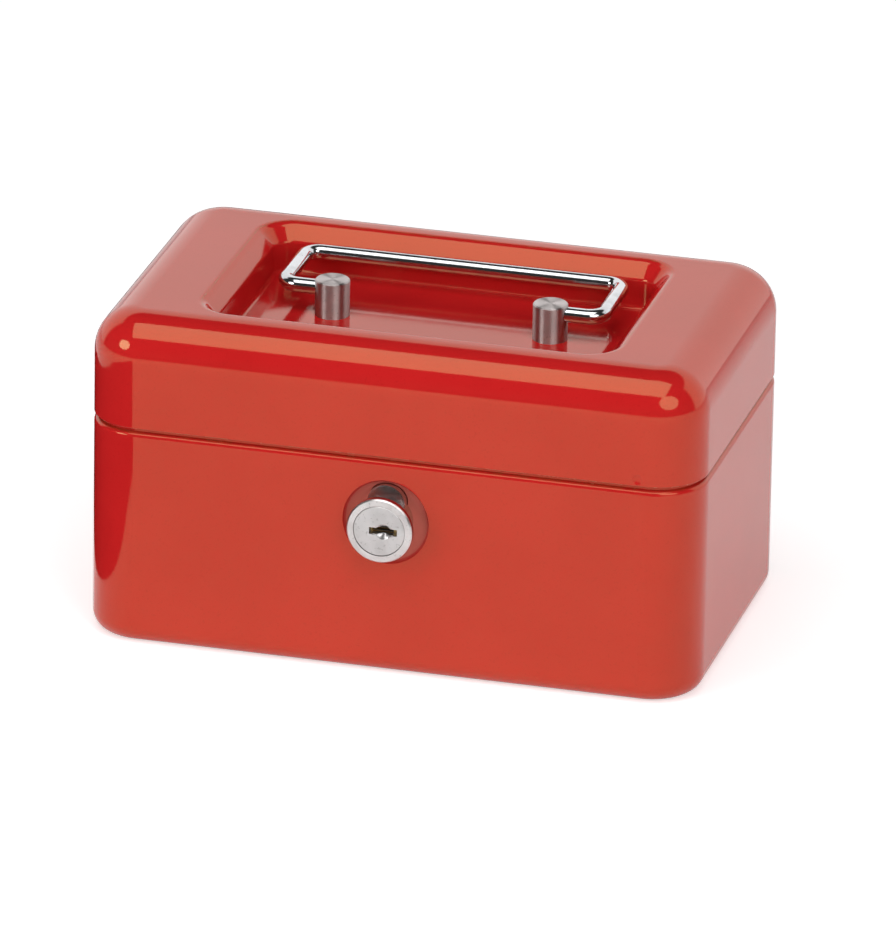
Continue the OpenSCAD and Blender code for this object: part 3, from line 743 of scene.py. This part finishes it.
# The post holes, the hinge windows and the dimple are cut with one tool, in metres.
post_x, post_y, spigot_hole_r, hole_depth = 0.02725, 0.0032, 0.0021, 0.003
window_w, window_d, window_h = 0.032, 0.0058, 0.0056
dimple_x, dimple_z, dimple_ball_r, dimple_depth = 0.0616, 0.05763, 0.0031, 0.00033
lid_front_y = -0.046
tools = bmesh.new()
for side in (-1, 1):
    made = bmesh.ops.create_cone(
        tools,
        cap_ends=True,
        segments=32,
        radius1=spigot_hole_r,
        radius2=spigot_hole_r,
        depth=hole_depth,
    )
    hole_middle = (side * post_x, post_y, mm * recess_floor_z)
    bmesh.ops.translate(tools, verts=made["verts"], vec=hole_middle)
    made = bmesh.ops.create_cube(tools, size=1)
    for v in made["verts"]:
        v.co = (
            side * hinge_x + window_w * v.co.x,
            hinge_axis_y + window_d * v.co.y,
            hinge_axis_z + window_h * v.co.z,
        )
made = bmesh.ops.create_uvsphere(tools, u_segments=32, v_segments=24, radius=dimple_ball_r)
dimple_middle = (dimple_x, lid_front_y - dimple_ball_r + dimple_depth, dimple_z)
bmesh.ops.translate(tools, verts=made["verts"], vec=dimple_middle)
tool_mesh = bpy.data.meshes.new("lid_tools")
tools.to_mesh(tool_mesh)
tools.free()
carve(lid, "DIFFERENCE", tool_mesh)
crease(lid, 35)

lid_edge, lid_edge_haze = (0.0560, 0.0562), 0.3


def worn_and_shaded_lid(tree, place):
    """The brow of the recess's rim, where the enamel is thin, and the lid's lower edge, thin and
    with painted shade along the seam.
    """
    return tree.add("ShaderNodeAttribute", {"attribute_name": "thin_edge"}, output="Fac")


def dry_edge(tree, place):
    """The lid's lower edge, where the enamel is a little hazier."""
    return (1 - tree.along(place, "Z").clip(*lid_edge)) * lid_edge_haze


lid.data.materials.clear()
lid.data.materials.append(gloss_enamel("red_enamel_lid", worn_and_shaded_lid, dry_edge))
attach(lid, "lid")
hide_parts("lid_shell")


# ---- Catch ----
# A folded hook of zinc-plated steel, spot welded inside the lid's front. The cam turns in under it.
dress(["lid_catch"], zinc_plating("zinc_catch", (1, 1, 0.05)))


# ---- Handle posts and washers ----
# Turned steel posts with a bored side, nickel plated, riveted through the recess floor over plain
# zinc-plated washers. The turning tool has left fine rings up each post.
def up_post(tree, place):
    """The height on a post."""
    return tree.along(place, "Z")


post_nickel = turned_nickel(
    "satin_nickel_posts",
    light=(0.56, 0.51, 0.50),
    dark=(0.49, 0.45, 0.44),
    roughness=0.36,
    rings=up_post,
    brushing=0.95,
    groove=6e-6,
)
dress(["handle_post_left", "handle_post_right"], post_nickel)
dress(["post_washers"], zinc_plating("zinc_washers", (1, 1, 1)))


# ---- Handle ----
# One length of round steel wire, bent at four corners and bright chrome plated. Its ends are sprung
# into the bores of the posts.
arm_x, tip_x, bar_y, pivot_z, wire_sides = 0.0398, 0.02705, 0.0266, 0.0781, 40
half_path = [(tip_x, post_y), (arm_x, post_y), (arm_x, bar_y)]
path = half_path + [(-x, y) for x, y in reversed(half_path)]
path_edges = [(i, i + 1) for i in range(len(path) - 1)]
path_mesh = bpy.data.meshes.new("handle_path")
path_mesh.from_pydata([(x, y, pivot_z) for x, y in path], path_edges, [])
wire_tree, tree, given = build_tree(
    "bent_wire",
    {
        "Wire Radius": ("NodeSocketFloat", 0.0019),
        "Bend Radius": ("NodeSocketFloat", 0.0039),
        "Bend Steps": ("NodeSocketInt", 14),
        "Wire Finish": ("NodeSocketMaterial", None),
    },
)
line = tree.add("GeometryNodeMeshToCurve", {}, {"Mesh": given["Geometry"]})
line = tree.add(
    "GeometryNodeFilletCurve",
    {"mode": "POLY"},
    {"Curve": line, "Count": given["Bend Steps"], "Radius": given["Bend Radius"]},
)
ring = tree.add(
    "GeometryNodeCurvePrimitiveCircle",
    {},
    {"Resolution": wire_sides, "Radius": given["Wire Radius"]},
)
wire = tree.add(
    "GeometryNodeCurveToMesh", {}, {"Curve": line, "Profile Curve": ring, "Fill Caps": True}
)
wire = tree.add("GeometryNodeSetShadeSmooth", {}, {"Geometry": wire})
wire = tree.add("GeometryNodeRealizeInstances", {}, {"Geometry": wire})
wire = tree.add(
    "GeometryNodeSetMaterial", {}, {"Geometry": wire, "Material": given["Wire Finish"]}
)
tree.add("NodeGroupOutput", {}, {"Geometry": wire})


def bright_chrome(name):
    """Mirror chrome with a faint haze, fine rubbing marks and a few pin holes."""
    bright, hazed, hole = (0.66, 0.67, 0.69), (0.56, 0.57, 0.585), (0.2, 0.19, 0.18)
    material, tree = finish(name)
    place = tree.add("ShaderNodeTexCoord", output="Object")
    haze = grain(tree, place, scale=220, detail=4)
    rubs = grain(tree, stretch(tree, place, (0.1, 1, 1)), scale=2600, detail=2)
    holes = grain(tree, place, scale=1700, detail=2).clip(0.68, 0.74)
    plate = tint(tree, haze.clip(0.4, 0.7), bright, hazed)
    plate = tint(tree, holes * 0.6, plate, hole)
    swell = relief(tree, haze, depth=1.2e-5)
    cover(tree, {
        "Base Color": plate,
        "Roughness": 0.08 + 0.08 * haze,
        "Metallic": 1.0,
        "Normal": relief(tree, rubs, depth=1.5e-6, under=swell),
    })
    return material


chrome = bright_chrome("bright_chrome")
handle = grow("handle_wire", path_mesh, wire_tree, {"Wire Finish": chrome})
crease(handle, 40)
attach(handle, "bail")
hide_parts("handle")


# ---- Coin tray ----
# A lift-out tray moulded in black plastic, with four round-bottomed troughs and a finger scoop at
# each end. The mould's fine spark texture makes it matt, and coins have rubbed it here and there.
def moulded_plastic(name):
    """Black plastic with a spark texture and scuffs that run from front to rear."""
    deep, pale, scuffed = (0.030, 0.030, 0.033), (0.038, 0.038, 0.040), (0.085, 0.083, 0.080)
    material, tree = finish(name)
    place = tree.add("ShaderNodeTexCoord", output="Object")
    spark = grain(tree, place, scale=2600, detail=3)
    cloud = grain(tree, place, scale=45, detail=3)
    scuffs = grain(tree, stretch(tree, place, (1, 0.06, 1)), scale=700, detail=3)
    black = tint(tree, cloud.clip(0.3, 0.7), deep, pale)
    black = tint(tree, scuffs.clip(0.62, 0.75) * 0.5, black, scuffed)
    cover(tree, {
        "Base Color": black,
        "Roughness": 0.42 + 0.16 * spark - 0.08 * scuffs.clip(0.6, 0.8),
        "Normal": relief(tree, spark, depth=2.2e-5),
    })
    return material


dress(["coin_tray"], moulded_plastic("moulded_plastic"))
